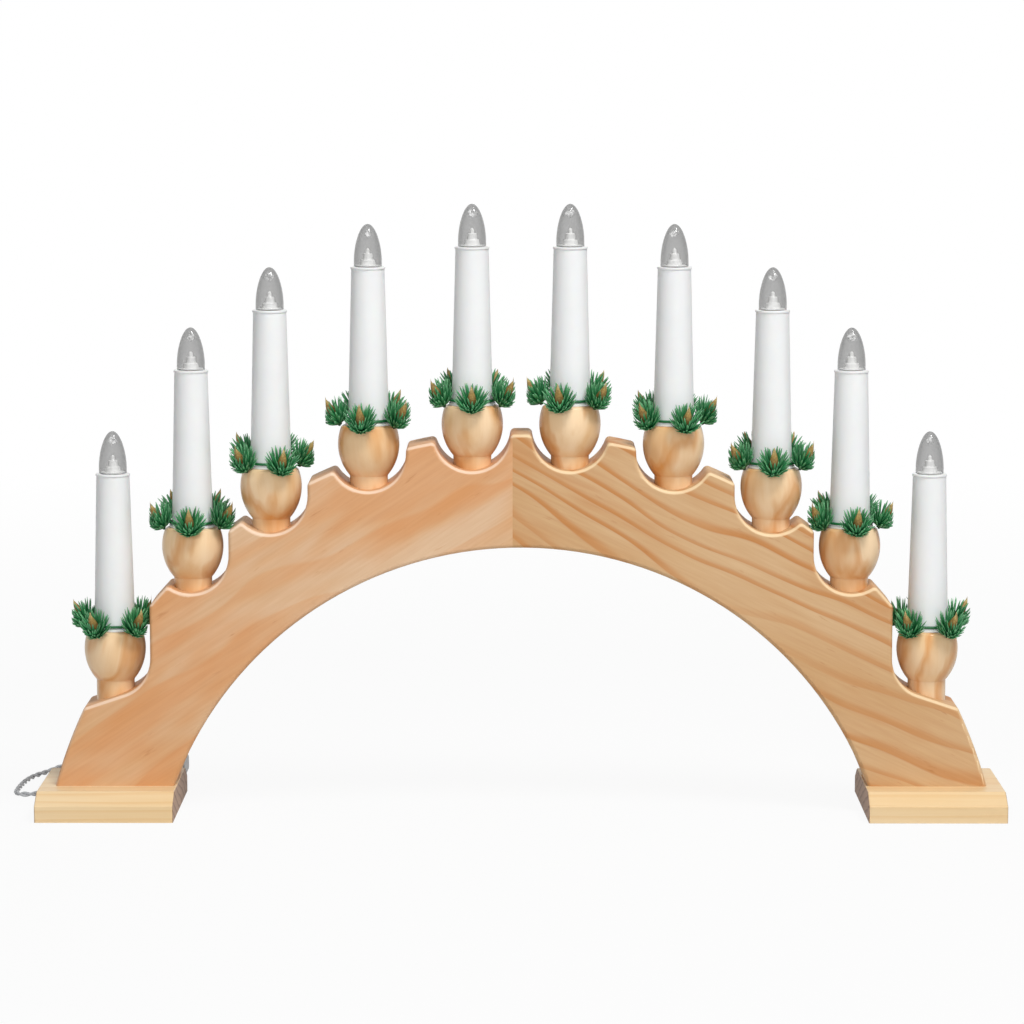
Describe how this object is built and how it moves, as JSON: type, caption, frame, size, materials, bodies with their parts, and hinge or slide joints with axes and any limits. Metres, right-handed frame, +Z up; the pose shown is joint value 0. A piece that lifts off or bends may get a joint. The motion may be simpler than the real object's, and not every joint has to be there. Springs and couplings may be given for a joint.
{
  "type": "candle arch",
  "caption": "Wooden window arch with scalloped top, turned cups and electric candles in garland rings, standing on two bevelled feet, with a thin lead.",
  "frame": {"origin": "centre of the feet on the table", "axes": "+X along the arch to the right, +Y to the back, +Z up"},
  "size_m": [0.5401, 0.1634, 0.3272],
  "materials": {
    "arch_wood_left": "clear lacquer over warm pine",
    "arch_wood_right": "clear lacquer over striped pine",
    "foot_wood": "bare pale pine",
    "cup_wood": "glossy lacquer over turned pine",
    "candle_plastic": "white satin",
    "bulb_clear": "clear",
    "garland_plastic": "green with gold brown buds",
    "cord_plastic": "grey translucent insulation",
    "plug_plastic": "moulded white",
    "pin_metal": "plated",
    "screw_steel": "zinc plated"
  },
  "bodies": {
    "stand": {"front_board_left": "arch_wood_left", "back_board_left": "arch_wood_left", "front_board_right": "arch_wood_right", "back_board_right": "arch_wood_right", "foot_left": "foot_wood", "foot_right": "foot_wood", "foot_screws": "screw_steel", "seam_dowels": "foot_wood", "cups_left": "cup_wood", "cups_right": "cup_wood", "lamp_sockets": "candle_plastic", "wire_harness": "cord_plastic", "cord_gland": "cord_plastic", "cord_lead": "cord_plastic", "cord_coil": "cord_plastic", "cord_tail": "cord_plastic", "cord_tie": "candle_plastic", "plug": "plug_plastic", "plug_pins": "pin_metal", "candle_tube_01": "candle_plastic", "candle_tube_02": "candle_plastic", "candle_tube_03": "candle_plastic", "candle_tube_04": "candle_plastic", "candle_tube_05": "candle_plastic", "candle_tube_06": "candle_plastic", "candle_tube_07": "candle_plastic", "candle_tube_08": "candle_plastic", "candle_tube_09": "candle_plastic", "candle_tube_10": "candle_plastic"},
    "bulb_01": {"bulb_glass_01": "bulb_clear", "bulb_base_01": "candle_plastic"},
    "ring_01": {"garland_01": "garland_plastic"},
    "bulb_02": {"bulb_glass_02": "bulb_clear", "bulb_base_02": "candle_plastic"},
    "ring_02": {"garland_02": "garland_plastic"},
    "bulb_03": {"bulb_glass_03": "bulb_clear", "bulb_base_03": "candle_plastic"},
    "ring_03": {"garland_03": "garland_plastic"},
    "bulb_04": {"bulb_glass_04": "bulb_clear", "bulb_base_04": "candle_plastic"},
    "ring_04": {"garland_04": "garland_plastic"},
    "bulb_05": {"bulb_glass_05": "bulb_clear", "bulb_base_05": "candle_plastic"},
    "ring_05": {"garland_05": "garland_plastic"},
    "bulb_06": {"bulb_glass_06": "bulb_clear", "bulb_base_06": "candle_plastic"},
    "ring_06": {"garland_06": "garland_plastic"},
    "bulb_07": {"bulb_glass_07": "bulb_clear", "bulb_base_07": "candle_plastic"},
    "ring_07": {"garland_07": "garland_plastic"},
    "bulb_08": {"bulb_glass_08": "bulb_clear", "bulb_base_08": "candle_plastic"},
    "ring_08": {"garland_08": "garland_plastic"},
    "bulb_09": {"bulb_glass_09": "bulb_clear", "bulb_base_09": "candle_plastic"},
    "ring_09": {"garland_09": "garland_plastic"},
    "bulb_10": {"bulb_glass_10": "bulb_clear", "bulb_base_10": "candle_plastic"},
    "ring_10": {"garland_10": "garland_plastic"}
  },
  "joints": [
    {"name": "bulb_lift_01", "type": "slide", "parent": "stand", "child": "bulb_01", "axis": [0, 0, 1], "range_m": [0, 0.016]},
    {"name": "ring_lift_01", "type": "slide", "parent": "stand", "child": "ring_01", "axis": [0, 0, 1], "range_m": [0, 0.112]},
    {"name": "bulb_lift_02", "type": "slide", "parent": "stand", "child": "bulb_02", "axis": [0, 0, 1], "range_m": [0, 0.016]},
    {"name": "ring_lift_02", "type": "slide", "parent": "stand", "child": "ring_02", "axis": [0, 0, 1], "range_m": [0, 0.112]},
    {"name": "bulb_lift_03", "type": "slide", "parent": "stand", "child": "bulb_03", "axis": [0, 0, 1], "range_m": [0, 0.016]},
    {"name": "ring_lift_03", "type": "slide", "parent": "stand", "child": "ring_03", "axis": [0, 0, 1], "range_m": [0, 0.112]},
    {"name": "bulb_lift_04", "type": "slide", "parent": "stand", "child": "bulb_04", "axis": [0, 0, 1], "range_m": [0, 0.016]},
    {"name": "ring_lift_04", "type": "slide", "parent": "stand", "child": "ring_04", "axis": [0, 0, 1], "range_m": [0, 0.112]},
    {"name": "bulb_lift_05", "type": "slide", "parent": "stand", "child": "bulb_05", "axis": [0, 0, 1], "range_m": [0, 0.016]},
    {"name": "ring_lift_05", "type": "slide", "parent": "stand", "child": "ring_05", "axis": [0, 0, 1], "range_m": [0, 0.112]},
    {"name": "bulb_lift_06", "type": "slide", "parent": "stand", "child": "bulb_06", "axis": [0, 0, 1], "range_m": [0, 0.016]},
    {"name": "ring_lift_06", "type": "slide", "parent": "stand", "child": "ring_06", "axis": [0, 0, 1], "range_m": [0, 0.112]},
    {"name": "bulb_lift_07", "type": "slide", "parent": "stand", "child": "bulb_07", "axis": [0, 0, 1], "range_m": [0, 0.016]},
    {"name": "ring_lift_07", "type": "slide", "parent": "stand", "child": "ring_07", "axis": [0, 0, 1], "range_m": [0, 0.112]},
    {"name": "bulb_lift_08", "type": "slide", "parent": "stand", "child": "bulb_08", "axis": [0, 0, 1], "range_m": [0, 0.016]},
    {"name": "ring_lift_08", "type": "slide", "parent": "stand", "child": "ring_08", "axis": [0, 0, 1], "range_m": [0, 0.112]},
    {"name": "bulb_lift_09", "type": "slide", "parent": "stand", "child": "bulb_09", "axis": [0, 0, 1], "range_m": [0, 0.016]},
    {"name": "ring_lift_09", "type": "slide", "parent": "stand", "child": "ring_09", "axis": [0, 0, 1], "range_m": [0, 0.112]},
    {"name": "bulb_lift_10", "type": "slide", "parent": "stand", "child": "bulb_10", "axis": [0, 0, 1], "range_m": [0, 0.016]},
    {"name": "ring_lift_10", "type": "slide", "parent": "stand", "child": "ring_10", "axis": [0, 0, 1], "range_m": [0, 0.112]}
  ]
}
